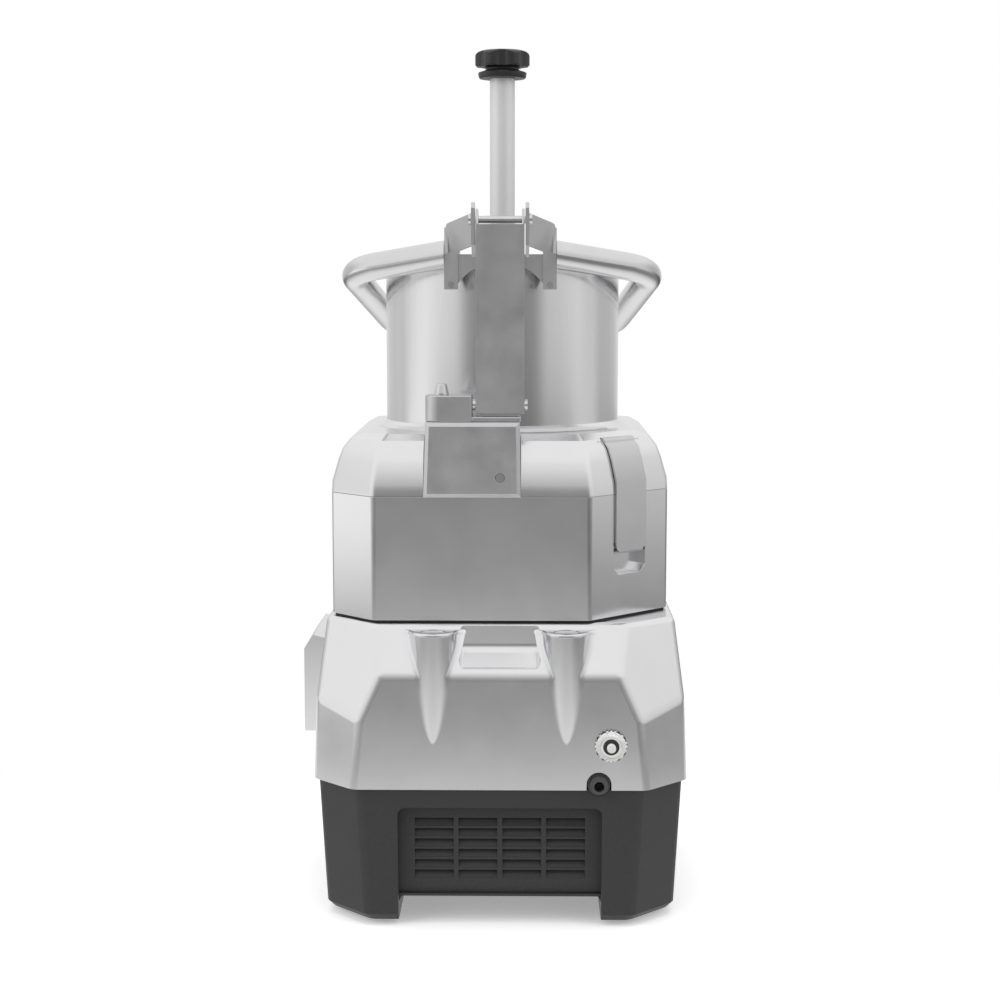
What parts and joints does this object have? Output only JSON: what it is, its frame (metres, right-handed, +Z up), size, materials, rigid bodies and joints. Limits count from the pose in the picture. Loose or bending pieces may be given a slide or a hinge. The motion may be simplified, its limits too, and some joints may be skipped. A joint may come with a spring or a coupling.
{
  "type": "commercial food processor",
  "caption": "Free-standing continuous-feed food processor: cast base and bowl, swing-away feed head with round hopper, lever pusher on a rear column, front chute.",
  "frame": {"origin": "floor level on the spindle axis", "axes": "+Z up along the spindle, -Y towards the rear column and hinge, +Y towards the discharge chute"},
  "size_m": [0.322, 0.3957, 0.7151],
  "materials": {
    "cast_aluminium": "polished casting",
    "turned_steel": "fine brushed",
    "satin_steel": "satin",
    "satin_casting": "satin casting",
    "dark_plastic": "fine texture",
    "black_plastic": "moulded",
    "rubber": "moulded",
    "rod_grey": "satin",
    "ejector_plastic": "moulded",
    "board": "lacquered",
    "white_plastic": "moulded",
    "green_plastic": "moulded",
    "red_plastic": "moulded"
  },
  "bodies": {
    "root": {"base_shell": "cast_aluminium", "shell_skirt": "dark_plastic", "skirt_legs": "dark_plastic", "bottom_plate": "turned_steel", "rear_grille": "dark_plastic", "rubber_feet": "rubber", "case_screws": "turned_steel", "bowl_gasket": "rubber", "bowl": "cast_aluminium", "discharge_chute": "cast_aluminium", "latch_keeper": "turned_steel", "hinge_pin": "turned_steel", "cable_gland": "black_plastic", "gland_nut": "black_plastic", "reset_bezel": "dark_plastic", "reset_nut": "turned_steel", "protector_body": "black_plastic", "side_console": "cast_aluminium", "switch_blocks": "black_plastic", "spindle_housing": "cast_aluminium", "spindle_bearings": "turned_steel", "lip_seal": "rubber", "motor_body": "satin_casting", "motor_plate": "turned_steel", "motor_posts": "turned_steel", "drive_belt": "rubber", "run_capacitor": "satin_casting", "control_board": "board", "terminal_block": "ejector_plastic"},
    "cutting_set": {"spindle": "turned_steel", "big_pulley": "cast_aluminium", "ejector_disc": "ejector_plastic", "slicing_disc": "turned_steel", "slicing_blade": "turned_steel", "hub_nut": "dark_plastic"},
    "motor_rotor": {"rotor": "turned_steel", "small_pulley": "turned_steel", "cooling_fan": "dark_plastic"},
    "feed_head": {"cover": "cast_aluminium", "feed_hopper": "turned_steel", "hinge_box": "satin_casting", "box_screw": "turned_steel", "hinge_block": "satin_casting", "column_lug": "satin_casting", "lower_pin": "turned_steel", "latch_pin": "turned_steel"},
    "latch": {"latch_strap": "satin_steel"},
    "column": {"column": "satin_steel", "upper_pin": "turned_steel"},
    "lever": {"lever_yoke": "satin_steel", "handle_tube": "turned_steel", "yoke_screws": "turned_steel"},
    "pusher": {"pusher_plate": "cast_aluminium", "feed_tube": "turned_steel", "crosshead_pins": "turned_steel"},
    "inner_pusher": {"small_pusher": "rod_grey", "rod_knob": "black_plastic"},
    "reset_key": {"reset_button": "white_plastic"},
    "start_key": {"start_button": "green_plastic"},
    "stop_key": {"stop_button": "red_plastic"}
  },
  "joints": [
    {"name": "cutting_spin", "type": "hinge", "parent": "root", "child": "cutting_set", "pos_m": [0, 0, 0.2], "axis": [0, 0, 1], "continuous": true},
    {"name": "motor_spin", "type": "hinge", "parent": "root", "child": "motor_rotor", "pos_m": [0, -0.085, 0.1], "axis": [0, 0, 1], "continuous": true},
    {"name": "head_swing", "type": "hinge", "parent": "root", "child": "feed_head", "pos_m": [-0.047, -0.13, 0.3481], "axis": [0, 0, 1], "range_deg": [-105, 0]},
    {"name": "latch_flip", "type": "hinge", "parent": "feed_head", "child": "latch", "pos_m": [0.09489, -0.09639, 0.38938], "axis": [-0.7071, -0.7071, 0], "range_deg": [0, 80]},
    {"name": "lever_lift", "type": "hinge", "parent": "column", "child": "lever", "pos_m": [0, -0.13, 0.5682], "axis": [1, 0, 0], "range_deg": [0, 40]},
    {"name": "column_swing", "type": "hinge", "parent": "feed_head", "child": "column", "pos_m": [0, -0.13, 0.4215], "axis": [1, 0, 0], "range_deg": [0, 6.01]},
    {"name": "pusher_slide", "type": "slide", "parent": "feed_head", "child": "pusher", "axis": [0, 0, 1], "range_m": [0, 0.116]},
    {"name": "rod_slide", "type": "slide", "parent": "pusher", "child": "inner_pusher", "axis": [0, 0, 1], "range_m": [-0.13, 0]},
    {"name": "reset_press", "type": "slide", "parent": "root", "child": "reset_key", "axis": [0, 1, 0], "range_m": [0, 0.0025], "stiffness_N_per_m": 300},
    {"name": "start_press", "type": "slide", "parent": "root", "child": "start_key", "axis": [1, 0, 0], "range_m": [0, 0.003], "stiffness_N_per_m": 400},
    {"name": "stop_press", "type": "slide", "parent": "root", "child": "stop_key", "axis": [1, 0, 0], "range_m": [0, 0.003], "stiffness_N_per_m": 400}
  ],
  "couplings": [
    {"joint": "motor_spin", "follows": "cutting_spin", "ratio": 3.9},
    {"joint": "column_swing", "follows": "lever_lift", "ratio": 0.15},
    {"joint": "pusher_slide", "follows": "lever_lift", "m_per_rad": 0.16587}
  ]
}
